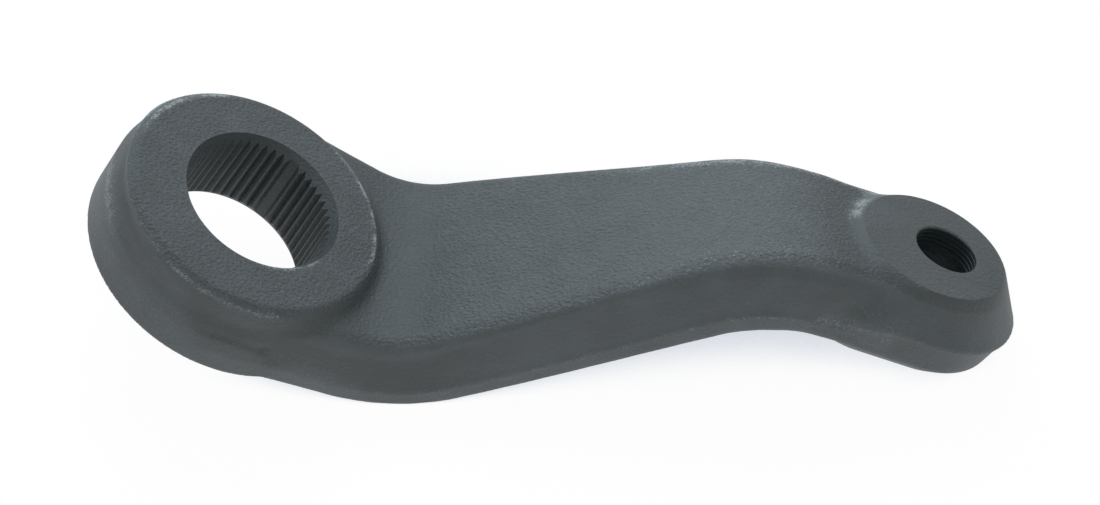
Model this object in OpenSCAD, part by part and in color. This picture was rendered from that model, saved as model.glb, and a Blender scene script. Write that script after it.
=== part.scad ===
// Forged steering pitman arm: a turned boss with a tapered, serrated bore, a beam that
// climbs out of the boss and levels off, and an oblong eye with a tapered stud hole.
// The arm is drawn in its forging frame (bore along Z, top face of the boss at z = 0,
// beam along +X) and then laid down the way it comes to rest on a flat surface.

/* [Boss] */
// Diameter of the collar's top face
collar_d = 56.8; // [52:0.2:64]
// Bevel round the collar's top face
collar_bevel = 1.5; // [0.5:0.1:2]
// Height of the collar above the top of the beam
collar_rise = 3.4; // [2.6:0.2:6]
// Draft of the collar's wall
collar_draft = 3; // [0:1:12]
// Depth of the boss below the underside of the beam
boss_drop = 0.2; // [0.1:0.1:2]
// Depth of the hollow under the collar, below the top of the beam
hollow_drop = 1.4; // [0.6:0.1:3]
// Radius of the hollow under the collar
hollow_r = 2.5; // [0.5:0.1:4]
// Width of the shoulder, from the collar's bevel to the boss's parting line
shoulder_w = 2.4; // [1.2:0.1:6]
// Height of the boss's parting line above the underside of the beam
boss_parting_h = 12.4; // [8:0.2:14]
// Draft of the boss below its parting line
boss_draft = 2.7; // [1:0.1:6]
// Radius on the boss's parting line
shoulder_edge_r = 0.7; // [0.2:0.1:3]
// Radius on the bottom edge of the boss
boss_bottom_r = 1.6; // [0.5:0.1:2]

/* [Splined bore] */
// Diameter at the groove roots, at the top face
spline_d = 34.4; // [26:0.2:40]
// Depth of the serrations
spline_depth = 0.8; // [0.5:0.1:1.6]
// Serration positions round the bore, master grooves included
spline_positions = 52; // [24:4:64]
// Wide master grooves, each with one tooth left out
master_grooves = 4; // [1:1:4]
// Turn of the first master groove from the beam
master_turn = 66; // [0:1:90]
// Share of the pitch that the flat on each tooth takes up
tooth_flat = 0.22; // [0.1:0.02:0.4]
// Taper of the bore, which opens downward: one in this many, on the diameter
spline_taper = 16; // [10:1:40]
// Reach of the lead-in past the groove roots, at both faces
lead_in = 0.8; // [0.2:0.1:1.6]
// Slope of the lead-ins, measured from the bore axis
lead_angle = 33; // [30:1:60]

/* [Beam] */
// Thickness of the beam
beam_t = 18.6; // [13:0.2:24]
// Inset of the beam's side from the boss, over the bore axis
root_inset = 0.6; // [0.5:0.1:6]
// Inset of the beam's side from the eye, over the stud axis
tip_inset = 2.9; // [0.6:0.1:5]
// Extra half width where the beam runs into the boss
root_flare = 2; // [0:0.1:4]
// Length of the flare from the bore axis
flare_len = 46; // [30:1:60]
// Flat length from the bore axis to the first bend
root_len = 26.5; // [15:0.5:35]
// Radius of the first bend, at mid thickness
rise_r = 30; // [25:0.5:50]
// Angle of the climb
rise_angle = 44.5; // [30:0.5:55]
// Straight length between the bends
climb_len = 59.5; // [30:0.5:80]
// Radius of the second bend, at mid thickness
level_r = 36; // [25:0.5:50]
// Flat length from the second bend to the stud axis
eye_run = 24.4; // [20:0.2:40]
// Radius on the top edges
beam_edge_r = 3.4; // [1:0.1:6]
// Radius on the bottom edges
beam_under_r = 2; // [1:0.1:5]

/* [Eye] */
// Climb that is left at the eye
eye_pitch = 5; // [0:0.1:15]
// Twist of the eye about the beam
eye_twist = 11; // [0:0.1:20]
// Diameter of the nut seat
seat_d = 33.2; // [28:0.2:36]
// Height of the nut seat above the beam
seat_rise = 1.7; // [1:0.1:6]
// Offset of the nut seat from the stud axis, towards the boss
seat_shift = 3; // [0:0.1:5]
// Diameter of the round ends at the eye's parting line
eye_d = 40.8; // [38:0.2:46]
// Height of the eye's parting line above the foot
eye_parting_h = 11.3; // [9:0.1:14]
// Draft of the eye's wall below its parting line
eye_draft = 14; // [5:0.5:20]
// Height of the bevelled edge above the foot
foot_bevel_h = 4.8; // [2:0.1:6]
// Diameter of the round ends of the foot
foot_d = 26.6; // [22:0.2:32]
// Height of the foot below the beam
foot_drop = 3.2; // [1:0.1:6]
// Offset of the outer round end past the stud axis
eye_reach = 0.8; // [0:0.1:3]
// Offset of the inner round end from the stud axis, towards the boss
eye_stretch = 6; // [3:0.1:12]
// Radius on the edge of the nut seat
seat_edge_r = 0.6; // [0.2:0.1:1.5]
// Radius on the edge of the foot
foot_edge_r = 1.8; // [0.2:0.1:3]

/* [Stud hole] */
// Diameter of the straight land under the nut seat
stud_d = 14.4; // [10:0.1:18]
// Length of the land
land_len = 6; // [3:0.5:10]
// Depth of the step at the end of the land
land_step = 0.4; // [0:0.1:1]
// Taper below the land: one in this many, on the diameter
stud_taper = 8; // [6:1:12]

/* [Forging] */
// Height of the beam's parting line above the underside
parting_h = 4.1; // [2:0.1:7]
// Draft of the beam above the parting line
draft_up = 7.5; // [3:0.1:12]
// Draft of the beam below the parting line
draft_down = 8.5; // [3:0.1:15]

/* [Hidden] */
steel = "#565c61";
// Segments in each rounded corner
corner_steps = 5;
// Overrun of cutters past the faces they open
over = 1;
// Stations along each stretch of the beam
straight_steps = 8;
bend_steps = 12;
// Sides of the eye's rings
eye_sides = 72;

// Stretches of the beam, as distances along its mid plane from the bore axis
level_angle = rise_angle - eye_pitch;
rise_from = root_len;
rise_to = rise_from + rise_r * rise_angle * PI / 180;
level_from = rise_to + climb_len;
level_to = level_from + level_r * level_angle * PI / 180;
eye_at = level_to + eye_run;

// Heights in a section of the beam, from its mid plane
half_t = beam_t / 2;
boss_h = collar_rise + beam_t + boss_drop;
parting_at = parting_h - half_t;
mid_z = -(collar_rise + half_t);
seat_h = half_t + seat_rise;
foot_h = half_t + foot_drop;
eye_parting = eye_parting_h - foot_h;

// Radii of the boss and the eye at their parting lines
body_r = collar_d / 2 + collar_bevel + shoulder_w;
eye_r = eye_d / 2;

function unit(v) = v / norm(v);
function smooth_step(t) = let (k = min(max(t, 0), 1)) k * k * (3 - 2 * k);
function steps(from, to, count) = [for (i = [0 : count - 1]) from + (to - from) * i / count];

// Arc that replaces corner b of the path a, b, c
function corner_arc(a, b, c, r) =
    let (
        u = unit(a - b),
        v = unit(c - b),
        half = acos(u * v) / 2,
        centre = b + unit(u + v) * r / sin(half),
        first = b + u * r / tan(half) - centre,
        last = b + v * r / tan(half) - centre,
        sweep = 180 - 2 * half
    )
    [for (i = [0 : corner_steps])
        let (k = i / corner_steps)
        centre + (first * sin((1 - k) * sweep) + last * sin(k * sweep)) / sin(sweep)];

// Outline through corners given as [x, y, radius]
function rounded(corners) =
    let (count = len(corners), point = [for (c = corners) [c.x, c.y]])
    [for (i = [0 : count - 1])
        let (r = corners[i].z)
        each r == 0 ? [point[i]]
            : corner_arc(point[(i + count - 1) % count], point[i], point[(i + 1) % count], r)];

// Spine of the beam at distance s: [x, z, slope]
function spine(s) =
    let (
        rise = min(max(s - rise_from, 0) / rise_r * 180 / PI, rise_angle),
        climb = min(max(s - rise_to, 0), climb_len),
        level = min(max(s - level_from, 0) / level_r * 180 / PI, level_angle),
        run = max(s - level_to, 0),
        heading = rise_angle - level
    )
    [min(s, rise_from) + rise_r * sin(rise) + climb * cos(rise_angle)
        + level_r * (sin(rise_angle) - sin(heading)) + run * cos(eye_pitch),
     rise_r * (1 - cos(rise)) + climb * sin(rise_angle)
        + level_r * (cos(heading) - cos(rise_angle)) + run * sin(eye_pitch),
     rise - level];

// Twist of the section at distance s: it starts after the first bend and ends at the eye
function twist_at(s) = eye_twist * smooth_step((s - rise_to) / (level_to - rise_to));

// Point of a straight beam [s, y, h] carried onto the bent and twisted one
function carried(p) =
    let (
        at = spine(p[0]),
        turn = twist_at(p[0]),
        y = p[1] * cos(turn) + p[2] * sin(turn),
        h = p[2] * cos(turn) - p[1] * sin(turn)
    )
    [at[0] - h * sin(at[2]), y, mid_z + at[1] + h * cos(at[2])];

// Half width of the beam at the parting line: a straight taper and a flare into the boss
function half_width(s) =
    let (root = body_r - root_inset - root_flare, tip = eye_r - tip_inset)
    root + (tip - root) * s / eye_at + root_flare * pow(max(1 - s / flare_len, 0), 2);

// Section of the beam at distance s, as [y, h]
function section(s) =
    let (
        w = half_width(s),
        top_w = w - (half_t - parting_at) * tan(draft_up),
        low_w = w - (parting_at + half_t) * tan(draft_down)
    )
    rounded([
        [top_w, half_t, beam_edge_r], [w, parting_at, 0], [low_w, -half_t, beam_under_r],
        [-low_w, -half_t, beam_under_r], [-w, parting_at, 0], [-top_w, half_t, beam_edge_r]]);

// Closed solid through rings of equal count
module loft(rings) {
    count = len(rings[0]);
    last = len(rings) - 1;
    corner = function (i, j) i * count + j % count;
    sides = [for (i = [0 : last - 1], j = [0 : count - 1])
        each [[corner(i, j), corner(i, j + 1), corner(i + 1, j)],
              [corner(i, j + 1), corner(i + 1, j + 1), corner(i + 1, j)]]];
    caps = [[for (j = [count - 1 : -1 : 0]) corner(0, j)], [for (j = [0 : count - 1]) corner(last, j)]];
    polyhedron([for (ring = rings) each ring], concat(sides, caps));
}

// Beam lofted through its sections, from inside the boss to inside the eye
module beam() {
    stations = concat(
        steps(0, rise_from, straight_steps), steps(rise_from, rise_to, bend_steps),
        steps(rise_to, level_from, 2 * straight_steps), steps(level_from, level_to, bend_steps),
        steps(level_to, eye_at - eye_stretch / 2, straight_steps), [eye_at - eye_stretch / 2]);
    loft([for (s = stations) [for (q = section(s)) carried([s, q[0], q[1]])]]);
}

// Boss turned about the bore: bevelled collar, hollow, shoulder, drafted body
module boss() {
    collar_r = collar_d / 2;
    bevel_r = collar_r + collar_bevel;
    hollow_z = -collar_rise - hollow_drop;
    neck_r = bevel_r + (-hollow_z - collar_bevel) * tan(collar_draft);
    parting_z = boss_parting_h - beam_t - collar_rise;
    rotate_extrude($fn = 96)
        polygon(rounded([
            [0, 0, 0], [collar_r, 0, 0], [bevel_r, -collar_bevel, 0], [neck_r, hollow_z, hollow_r],
            [body_r, parting_z, shoulder_edge_r],
            [body_r - (parting_z + boss_h) * tan(boss_draft), -boss_h, boss_bottom_r], [0, -boss_h, 0]]));
}

// Serrated outline at groove-root radius r, with the master grooves' teeth left out
module serrations(r) {
    pitch = 360 / spline_positions;
    tip = r - spline_depth;
    masters = [for (k = [0 : master_grooves - 1]) round(k * spline_positions / master_grooves)];
    polygon([for (i = [0 : spline_positions - 1])
        let (a = i * pitch + master_turn, is_master = len(search(i, masters)) > 0)
        each is_master
            ? [for (k = [-0.5, 0]) r * [cos(a + k * pitch), sin(a + k * pitch)]]
            : [r * [cos(a - pitch / 2), sin(a - pitch / 2)],
               for (k = [-tooth_flat / 2, tooth_flat / 2]) tip * [cos(a + k * pitch), sin(a + k * pitch)]]]);
}

// Cutter for the tapered, serrated bore and its two lead-ins
module splined_bore() {
    top_r = (spline_d - over / spline_taper) / 2;
    low_r = (spline_d + (boss_h + over) / spline_taper) / 2;
    translate([0, 0, -boss_h - over])
        linear_extrude(boss_h + 2 * over, scale = top_r / low_r)
            serrations(low_r);
    // Lead-ins: cones from past the faces into the bore
    mouth_r = spline_d / 2 + lead_in + over * tan(lead_angle);
    exit_r = (spline_d + boss_h / spline_taper) / 2 + lead_in + over * tan(lead_angle);
    mouth_len = mouth_r / tan(lead_angle);
    exit_len = exit_r / tan(lead_angle);
    translate([0, 0, over - mouth_len])
        cylinder(mouth_len, 0, mouth_r, $fn = 96);
    translate([0, 0, -boss_h - over])
        cylinder(exit_len, exit_r, 0, $fn = 96);
}

// Moves its children from the eye's own frame (stud axis along Z, mid plane at z = 0)
module at_eye() {
    at = spine(eye_at);
    translate([at[0], 0, mid_z + at[1]])
        rotate([0, -at[2], 0])
            rotate([-eye_twist, 0, 0])
                children();
}

// Half of the eye's outline from the foot up: foot, bevel, parting line, seat
function eye_outline() =
    let (bevel_h = foot_bevel_h - foot_h)
    rounded([
        [0, -foot_h, 0], [foot_d / 2, -foot_h, foot_edge_r],
        [eye_r - (eye_parting - bevel_h) * tan(eye_draft), bevel_h, 0], [eye_r, eye_parting, 0],
        [seat_d / 2, seat_h, seat_edge_r], [0, seat_h, 0]]);

// Ring of the eye at height h: oblong up to the parting line, then drawn in to the round seat
function eye_ring(r, h) =
    let (
        draw = max(h - eye_parting, 0) / (seat_h - eye_parting),
        outer = eye_reach * (1 - draw) - seat_shift * draw,
        inner = -eye_stretch * (1 - draw) - seat_shift * draw
    )
    [for (j = [0 : eye_sides - 1])
        let (a = -(j + 0.5) * 360 / eye_sides)
        [r * cos(a) + (cos(a) < 0 ? inner : outer), r * sin(a), h]];

// Eye lofted through its rings
module eye() {
    outline = eye_outline();
    loft([for (i = [1 : len(outline) - 2]) eye_ring(outline[i][0], outline[i][1])]);
}

// Cutter for the stud hole: straight land, step, taper that opens downward
module stud_hole() {
    stud_r = stud_d / 2;
    taper_len = seat_h + foot_h - land_len + over;
    step_r = stud_r + land_step;
    translate([0, 0, seat_h - land_len])
        cylinder(land_len + over, stud_r, stud_r, $fn = 72);
    translate([0, 0, seat_h - land_len - taper_len])
        cylinder(taper_len, step_r + taper_len / stud_taper / 2, step_r, $fn = 72);
}

// The finished arm in its forging frame
module forging() {
    difference() {
        union() {
            boss();
            beam();
            at_eye()
                eye();
        }
        splined_bore();
        at_eye()
            stud_hole();
    }
}

// Lowest point of the eye's foot when the arm is tipped by an angle, as [x, z]
function foot_contact(tip) =
    let (
        at = spine(eye_at),
        slope = tip - at[2],
        along = sin(slope),
        across = cos(slope) * sin(eye_twist),
        reach = unit([along, across]) * foot_d / 2,
        x = reach[0] + (along < 0 ? -eye_stretch : eye_reach),
        h = -foot_h * cos(eye_twist) - reach[1] * sin(eye_twist)
    )
    [at[0] + x * cos(at[2]) - h * sin(at[2]), mid_z + at[1] + x * sin(at[2]) + h * cos(at[2])];

// Tip at which the underside of the first bend and the foot touch one plane
function rest_tip(tip, rounds) =
    rounds == 0 ? tip
        : let (
            centre = [root_len, mid_z + rise_r],
            reach = foot_contact(tip) - centre,
            under_r = rise_r + half_t
        )
        rest_tip(atan2(reach[0], -reach[1]) - acos(under_r / norm(reach)), rounds - 1);

module pitman_arm() {
    color(steel)
        rotate([0, rest_tip(0, 6), 0])
            forging();
}

pitman_arm();
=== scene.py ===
"""Looks of the forged pitman arm: its surface with the forging's blends, finish, light and camera."""
import math
from types import SimpleNamespace

import bpy
import numpy as np
from mathutils import Matrix, Vector

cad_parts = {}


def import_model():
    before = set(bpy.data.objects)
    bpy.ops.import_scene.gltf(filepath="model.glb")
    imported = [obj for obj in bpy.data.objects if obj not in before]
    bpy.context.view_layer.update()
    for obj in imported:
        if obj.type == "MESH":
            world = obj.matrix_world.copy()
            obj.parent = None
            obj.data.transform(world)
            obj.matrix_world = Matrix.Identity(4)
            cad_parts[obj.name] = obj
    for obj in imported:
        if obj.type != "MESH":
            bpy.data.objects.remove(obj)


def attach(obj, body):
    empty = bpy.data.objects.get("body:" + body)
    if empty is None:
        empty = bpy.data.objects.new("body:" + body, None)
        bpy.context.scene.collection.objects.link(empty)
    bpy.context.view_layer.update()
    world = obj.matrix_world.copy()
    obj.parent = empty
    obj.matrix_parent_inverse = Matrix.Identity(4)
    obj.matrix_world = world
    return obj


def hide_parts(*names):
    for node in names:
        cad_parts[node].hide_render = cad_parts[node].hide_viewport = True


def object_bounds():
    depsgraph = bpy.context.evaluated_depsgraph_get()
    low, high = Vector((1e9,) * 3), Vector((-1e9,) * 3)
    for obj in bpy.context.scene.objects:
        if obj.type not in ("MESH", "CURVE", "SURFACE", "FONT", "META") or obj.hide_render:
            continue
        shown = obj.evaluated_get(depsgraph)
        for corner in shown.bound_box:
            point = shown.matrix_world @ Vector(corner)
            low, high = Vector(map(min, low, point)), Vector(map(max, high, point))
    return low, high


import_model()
cad_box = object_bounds()

# All sizes are in mm, in the forging frame: bore along Z, collar face at z = 0, beam along +X.
# The near side is the one in the picture, at negative Y.
# A pair that ends in FROM or TO says where a feature starts or ends, and over what length.

# Boss
COLLAR_FACE_R = 28.55
COLLAR_EDGE_R = 0.35
COLLAR_BEVEL = 1.5
BEVEL_EDGE_R = 0.5
COLLAR_RISE = 3.4
COLLAR_SHIFT = (-1.25, -0.9)
BODY_R = 31.88
BODY_PARTING = 9.6
BODY_FOOT_R = 31.72
BOSS_H = 22.2
BOSS_BOTTOM_R = 1.1
# Groove under the collar, at the back only: where it starts, as a cosine of the angle to the back
GROOVE_R = 29.4
GROOVE_DEPTH = 4.6
GROOVE_CORNER_R = 1.8
GROOVE_NEAR_FROM = (0.68, 0.22)
GROOVE_FAR_FROM = (0.82, 0.13)
GROOVED_SHOULDER_R = 0.5
PLAIN_SHOULDER_R = 5.0
# Collar and body were forged a little out of round: angle in degrees, spread and growth of a side
COLLAR_OVAL = ((150, 20, 0.28), (187, 25, -0.4), (70, 25, -0.2))
BODY_OVAL = (148, 11, 0.4)
# Step of the flash line on the near side, whose height is a parabola in x, and a pit beside it
LIP = 0.5
LIP_SOFT = 0.9
LIP_TOP = -11.6
LIP_SLOPE = 0.06
LIP_FALL = 0.026
LIP_LEVEL_TO = -4
LIP_ALONG_FROM = (-10, 10)
LIP_NEAR_FROM = (0, 8)
LIP_BELOW_FROM = (2, 5)
PIT = (9.5, -30.6, -12.0)
PIT_DEPTH = 0.9
PIT_R = 1.0

# Beam
BEAM_T = 18.6
ROOT_HALF_W = 29.7
TIP_HALF_W = 17.5
NEAR_FLARE = 2.0
FAR_FLARE = 3.8
FLARE_LEN = 46.0
FAR_SLIM = 0.15
FAR_SLIM_FROM = (15, 20)
FAR_SLIM_TO = (112, 20)
ROOT_INSET = 0.6
ROOT_INSET_TO = (14, 14)
ROOT_LEN = 26.5
RISE_R = 30.0
RISE_ANGLE = math.radians(44.5)
CLIMB_LEN = 59.5
LEVEL_R = 36.0
EYE_RUN = 24.4
EYE_PITCH = math.radians(5)
EYE_TWIST = math.radians(11)
PARTING_H = 4.6
DRAFT_NEAR = math.radians(4)
DRAFT_FAR = math.radians(7.5)
DRAFT_DOWN = math.radians(8)
NEAR_FACET = 2.0
CREST_FACET = 3.0
CREST_FACET_FROM = (85, 40)
FACET_R = 1.2
NEAR_EDGE_R = 0.4
FAR_EDGE_R = 2.4
FAR_CREST_R = 3.6
CREST_FROM = (116, 14)
CREST_TO = (146, 10)
BEAM_UNDER_R = 1.2
ARCH_UNDER_R = 2.2
ARCH_FROM = (122, 10)
ARCH_TO = (148, 10)
# Shallow crease under the near top edge, and the ridge of the flash line
EDGE_CREASE = 0.35
CREASE_BELOW = 2.0
CREASE_EDGE = 1.0
CREASE_FADE_FROM = (-1, 6)
CREASE_FROM = (35, 20)
FLASH = 0.22
FLASH_W = 0.7
FLASH_FROM = (25, 20)
# The beam thins out inside the boss and inside the eye
END_THINNING = 0.6
EYE_OVERLAP = 3

# Eye
SEAT_R = 16.7
SEAT_SHIFT = (-3.0, -0.5)
SEAT_RISE = 1.7
SEAT_STOCK = 0.5
SEAT_EDGE_R = 2.0
PAD_MARGIN = 0.2
EYE_R = 20.6
EYE_PARTING_H = 12.3
EYE_PARTING_R = 3
EYE_REACH = 1.0
EYE_STRETCH = 9.0
NEAR_STRETCH = 12.0
NEAR_STRETCH_FROM = (4, 8)
EYE_TUCK = 0.6
TUCK_ABOVE = 1.5
TUCK_SOFT = 5
EYE_DRAFT = math.radians(14)
EYE_FLASH_LIFT = 1
EYE_FLASH_TO = (-6, 18)
FOOT_BEVEL_H = 4.2
FOOT_BEVEL_R = 3
FOOT_R = 13.3
FOOT_DROP = 3.2
FOOT_EDGE_R = 1.0
FOOT_REACH = 0.8

# Holes
SPLINE_R = 17.2
SPLINE_DEPTH = 0.8
SPLINE_POSITIONS = 52
MASTER_GROOVES = 4
MASTER_TURN = math.radians(66)
TOOTH_FLAT = 0.22
SPLINE_TAPER = 16
MOUTH_LEAD = 0.9
MOUTH_SHIFT = (0.25, 0.05)
EXIT_LEAD = 0.7
EXIT_SHIFT = (0.1, -0.35)
LEAD_ANGLE = math.radians(33)
STUD_R = 7.2
LAND_LEN = 6.0
LAND_STEP = 0.4
LAND_STEP_H = 0.3
STUD_TAPER = 8
STUD_EDGE = 0.3
STUD_RINGS = (4.2, 3.1, 2.0, 0.9)
RING_DEPTH = 0.25
RING_EDGES = (0.45, 0.3, 0.1)
# Cutters: how far they run past a face, how deep the lead-in cones reach, room round the seat
OVER = 1.0
CONE_DEEP = 6.0
SEAT_CUT_MARGIN = 7
SEAT_CUT_H = 5
BORE_SIDES = 144
STUD_SIDES = 96

# Blends of the forging that the plain solid leaves sharp: size, reach in sizes, turn for a full one
COLLAR_BLEND = 3.0
SEAT_BLEND = 4.0
SEAT_BLEND_FROM = (4, 4)
EYE_BLEND = 6.0
BLEND_REACH = 3
BLEND_TURN = 0.7

# Grid that the surface is drawn on
GRID = 0.6
MARGIN_CELLS = 4
MM_PER_M = 1000
FAR_OFF = 99
SHARP_ANGLE = math.radians(32)

# Stretches of the beam along its mid plane
HALF_T = BEAM_T / 2
MID_Z = -(COLLAR_RISE + HALF_T)
PARTING_AT = PARTING_H - HALF_T
SEAT_H = HALF_T + SEAT_RISE
FOOT_H = HALF_T + FOOT_DROP
EYE_PARTING = EYE_PARTING_H - FOOT_H
LEVEL_ANGLE = RISE_ANGLE - EYE_PITCH
RISE_TO = ROOT_LEN + RISE_R * RISE_ANGLE
LEVEL_FROM = RISE_TO + CLIMB_LEN
LEVEL_TO = LEVEL_FROM + LEVEL_R * LEVEL_ANGLE
EYE_AT = LEVEL_TO + EYE_RUN


def unit2(v):
    return v / np.hypot(*v)


def mix(a, b, share):
    return a + (b - a) * share


def smooth_step(t):
    k = np.clip(t, 0, 1)
    return k * k * (3 - 2 * k)


def rise(value, start, length):
    """0 up to the start, then up to 1 over the length."""
    return smooth_step((value - start) / length)


def fall(value, end, length):
    """1, then down to 0 at the end over the length."""
    return smooth_step((end - value) / length)


def between(value, low, high, soft):
    """1 from low to high, with soft ends."""
    return smooth_step((value - low) / soft + 0.5) * smooth_step((high - value) / soft + 0.5)


def band(value, centre, width):
    """1 at the centre, fading out on both sides."""
    return np.exp(-((value - centre) / width) ** 2)


def rounded(corners, steps=6):
    """Outline through corners given as (x, y, radius)."""
    points = [np.array(c[:2], float) for c in corners]
    out = []
    for i, (_, _, r) in enumerate(corners):
        b = points[i]
        if r == 0:
            out.append(b)
            continue
        u = unit2(points[i - 1] - b)
        v = unit2(points[(i + 1) % len(points)] - b)
        half = math.acos(u @ v) / 2
        centre = b + unit2(u + v) * r / math.sin(half)
        first = b + u * r / math.tan(half) - centre
        last = b + v * r / math.tan(half) - centre
        sweep = math.pi - 2 * half
        for k in np.linspace(0, 1, steps + 1):
            turn = first * math.sin((1 - k) * sweep) + last * math.sin(k * sweep)
            out.append(centre + turn / math.sin(sweep))
    return np.array(out)


def outline_distance(outline, x, y):
    """Signed distance to a closed outline, negative inside."""
    best = np.full(x.shape, np.inf, x.dtype)
    inside = np.zeros(x.shape, bool)
    for a, b in zip(outline, np.roll(outline, -1, axis=0)):
        ex, ey = (b - a).astype(x.dtype)
        if ex == 0 and ey == 0:
            continue
        px = x - x.dtype.type(a[0])
        py = y - x.dtype.type(a[1])
        k = np.clip((px * ex + py * ey) / (ex * ex + ey * ey), 0, 1)
        best = np.minimum(best, (px - k * ex) ** 2 + (py - k * ey) ** 2)
        if ey != 0:
            crosses = (py >= 0) != (py >= ey)
            inside ^= crosses & (px < py * (ex / ey))
    return np.where(inside, -1, 1) * np.sqrt(best)


def round_max(a, b, r):
    """Intersection of two forms with a rounded edge."""
    corner = np.hypot(np.maximum(a + r, 0), np.maximum(b + r, 0))
    return np.minimum(np.maximum(a, b), -r) + corner


def smooth_min(a, b, k):
    """Union of two forms with a hollow blend of size k."""
    k = np.maximum(k, 1e-3)
    h = np.maximum(k - np.abs(a - b), 0) / k
    return np.minimum(a, b) - h * h * k / 4


def spine_end():
    """Where the stud axis crosses the mid plane, as x, z in the forging frame."""
    x = ROOT_LEN + RISE_R * math.sin(RISE_ANGLE) + CLIMB_LEN * math.cos(RISE_ANGLE)
    x += LEVEL_R * (math.sin(RISE_ANGLE) - math.sin(EYE_PITCH)) + EYE_RUN * math.cos(EYE_PITCH)
    z = RISE_R * (1 - math.cos(RISE_ANGLE)) + CLIMB_LEN * math.sin(RISE_ANGLE)
    z += LEVEL_R * (math.cos(EYE_PITCH) - math.cos(RISE_ANGLE)) + EYE_RUN * math.sin(EYE_PITCH)
    return x, z + MID_Z


def straightened(x, y, z):
    """Place of points along the beam: distance, across and height in the twisted section."""
    rise_x, rise_z = x - ROOT_LEN, z - (MID_Z + RISE_R)
    rise_turn = np.arctan2(rise_x, -rise_z)
    foot_x = ROOT_LEN + RISE_R * math.sin(RISE_ANGLE)
    foot_z = MID_Z + RISE_R * (1 - math.cos(RISE_ANGLE))
    c, s = math.cos(RISE_ANGLE), math.sin(RISE_ANGLE)
    climb = (x - foot_x) * c + (z - foot_z) * s
    climb_h = (z - foot_z) * c - (x - foot_x) * s
    top_x, top_z = foot_x + CLIMB_LEN * c, foot_z + CLIMB_LEN * s
    level_x, level_z = x - (top_x + LEVEL_R * s), z - (top_z - LEVEL_R * c)
    heading = np.arctan2(-level_x, level_z)
    end_x, end_z = spine_end()
    cp, sp = math.cos(EYE_PITCH), math.sin(EYE_PITCH)
    run = (x - end_x) * cp + (z - end_z) * sp
    run_h = (z - end_z) * cp - (x - end_x) * sp
    choices = [x < ROOT_LEN, (rise_turn < RISE_ANGLE) & (rise_z < 0),
               climb < CLIMB_LEN, heading > EYE_PITCH]
    along = np.select(choices, [
        x, ROOT_LEN + RISE_R * rise_turn, RISE_TO + climb,
        LEVEL_FROM + LEVEL_R * (RISE_ANGLE - heading)], EYE_AT + run)
    height = np.select(choices, [
        z - MID_Z, RISE_R - np.hypot(rise_x, rise_z), climb_h,
        np.hypot(level_x, level_z) - LEVEL_R], run_h)
    twist = EYE_TWIST * rise(along, RISE_TO, LEVEL_TO - RISE_TO)
    across = y * np.cos(twist) - height * np.sin(twist)
    return along, across, y * np.sin(twist) + height * np.cos(twist)


def half_width(along, near):
    flare = np.where(near, NEAR_FLARE, FAR_FLARE) * np.maximum(1 - along / FLARE_LEN, 0) ** 2
    slim = np.where(near, 0, FAR_SLIM) * rise(along, *FAR_SLIM_FROM) * fall(along, *FAR_SLIM_TO)
    return ROOT_HALF_W + (TIP_HALF_W - ROOT_HALF_W) * along / EYE_AT + flare - slim


def beam_distance(x, y, z):
    along, across, height = straightened(x, y, z)
    near = across < 0
    side = np.abs(across) - half_width(along, near)
    crease = fall(height, HALF_T - CREASE_BELOW, CREASE_EDGE) * rise(height, *CREASE_FADE_FROM)
    side = side + np.where(near, EDGE_CREASE, 0) * crease * rise(along, *CREASE_FROM)
    side = side + np.where(near, ROOT_INSET, 0) * fall(along, *ROOT_INSET_TO)
    above = height - PARTING_AT
    draft = np.where(near, DRAFT_NEAR, DRAFT_FAR)
    wall = np.maximum(
        side * np.cos(draft) + above * np.sin(draft),
        side * math.cos(DRAFT_DOWN) - above * math.sin(DRAFT_DOWN))
    wall = wall - FLASH * band(height, PARTING_AT, FLASH_W) * rise(along, *FLASH_FROM)
    top = height - HALF_T
    facet = mix(NEAR_FACET, CREST_FACET, rise(along, *CREST_FACET_FROM))
    facet = np.where(near, (wall + top + facet) / math.sqrt(2), -FAR_OFF)
    far_r = mix(FAR_EDGE_R, FAR_CREST_R, rise(along, *CREST_FROM) * fall(along, *CREST_TO))
    form = round_max(round_max(wall, top, np.where(near, NEAR_EDGE_R, far_r)), facet, FACET_R)
    under_r = mix(BEAM_UNDER_R, ARCH_UNDER_R, rise(along, *ARCH_FROM) * fall(along, *ARCH_TO))
    form = round_max(form, -height - HALF_T, under_r)
    past_ends = np.maximum(-along, 0) + np.maximum(along - EYE_AT + EYE_OVERLAP, 0)
    return form + END_THINNING * past_ends


def boss_outline(grooved):
    """Half section of the boss: face, bevel, wall with or without the groove, body."""
    bevel_r = COLLAR_FACE_R + COLLAR_BEVEL
    groove = [(GROOVE_R, -GROOVE_DEPTH, GROOVE_CORNER_R)] if grooved else []
    shoulder_r = GROOVED_SHOULDER_R if grooved else PLAIN_SHOULDER_R
    collar = [(-COLLAR_FACE_R, 0, 0), (COLLAR_FACE_R, 0, COLLAR_EDGE_R),
              (bevel_r, -COLLAR_BEVEL, BEVEL_EDGE_R)]
    body = [(BODY_R, -BODY_PARTING, shoulder_r), (BODY_FOOT_R, -BOSS_H, BOSS_BOTTOM_R),
            (-COLLAR_FACE_R, -BOSS_H, 0)]
    return rounded(collar + groove + body)


def lip_height(x):
    """Height of the crease where the flash line steps down to the beam on the near side."""
    k = np.maximum(x, LIP_LEVEL_TO)
    return LIP_TOP + LIP_SLOPE * k - LIP_FALL * k * k


def pit_mark(x, y, z, r):
    """1 in the middle of the pit, fading out with distance."""
    away = (x - PIT[0]) ** 2 + (y - PIT[1]) ** 2 + (z - PIT[2]) ** 2
    return np.exp(-away / r ** 2)


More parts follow.
